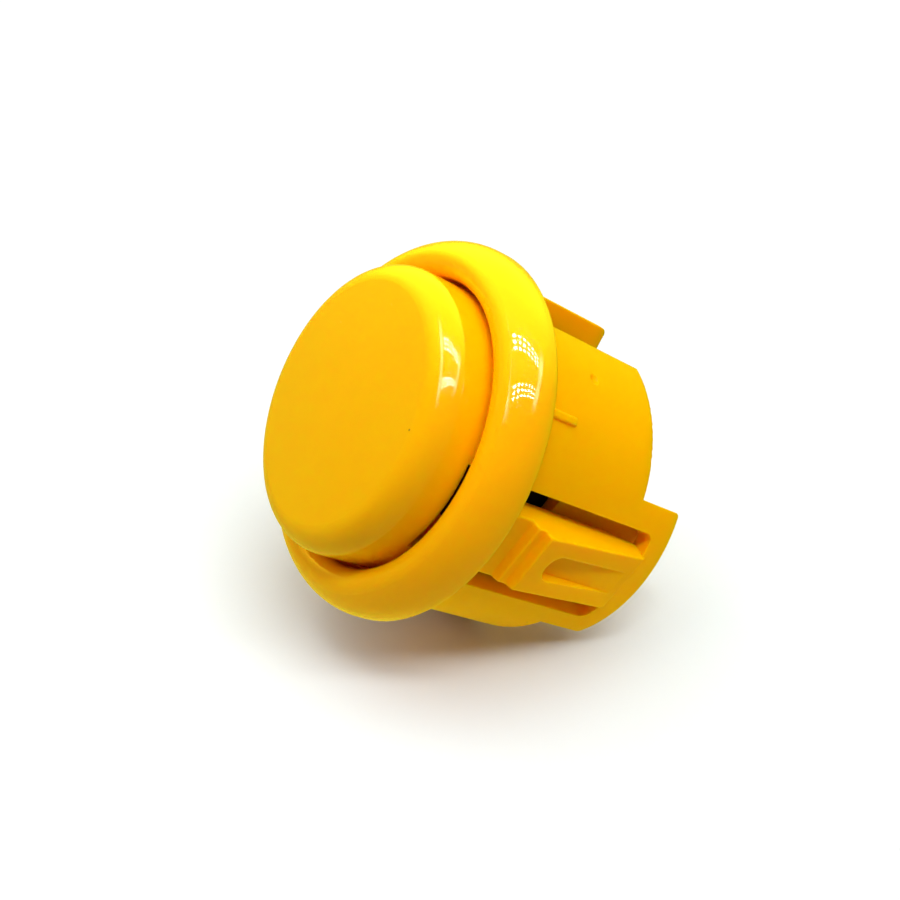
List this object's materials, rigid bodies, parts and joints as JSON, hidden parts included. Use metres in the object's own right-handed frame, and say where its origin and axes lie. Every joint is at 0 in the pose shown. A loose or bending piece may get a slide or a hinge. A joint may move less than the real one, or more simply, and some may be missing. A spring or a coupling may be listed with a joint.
{
  "type": "arcade push button",
  "caption": "Round snap-in push button: low cap in a half-round rim, barrel with serrated snap tabs for a panel hole, sprung switch inside and blade terminals at the rear.",
  "frame": {"origin": "centre of the panel hole, on the underside of the rim, where it meets the panel's top face", "axes": "+Z along the press axis, out of the panel towards the player; snap tabs at -Y and +Y, plunger hooks at -X and +X"},
  "size_m": [0.0332, 0.0332, 0.035],
  "materials": {
    "yellow_plastic": "gloss",
    "black_plastic": "satin",
    "white_plastic": "satin",
    "spring_steel": "drawn wire",
    "bronze": "rolled strip",
    "silver": "satin",
    "brass": "stamped strip"
  },
  "bodies": {
    "housing": {"housing": "yellow_plastic", "switch_base": "black_plastic", "switch_cover": "black_plastic", "terminal_left": "brass", "terminal_right": "brass", "fixed_contact_left": "silver", "fixed_contact_right": "silver", "return_spring": "spring_steel"},
    "plunger": {"plunger": "yellow_plastic"},
    "actuator": {"switch_actuator": "white_plastic", "contact_bar": "bronze", "bar_contact_left": "silver", "bar_contact_right": "silver"}
  },
  "joints": [
    {"name": "plunger_press", "type": "slide", "parent": "housing", "child": "plunger", "axis": [0, 0, -1], "range_m": [0, 0.0025], "stiffness_N_per_m": 200, "springref_m": -0.003},
    {"name": "actuator_press", "type": "slide", "parent": "housing", "child": "actuator", "axis": [0, 0, -1], "range_m": [0, 0.0025], "deforming": ["return_spring"]}
  ],
  "couplings": [
    {"joint": "actuator_press", "follows": "plunger_press", "ratio": 1}
  ]
}
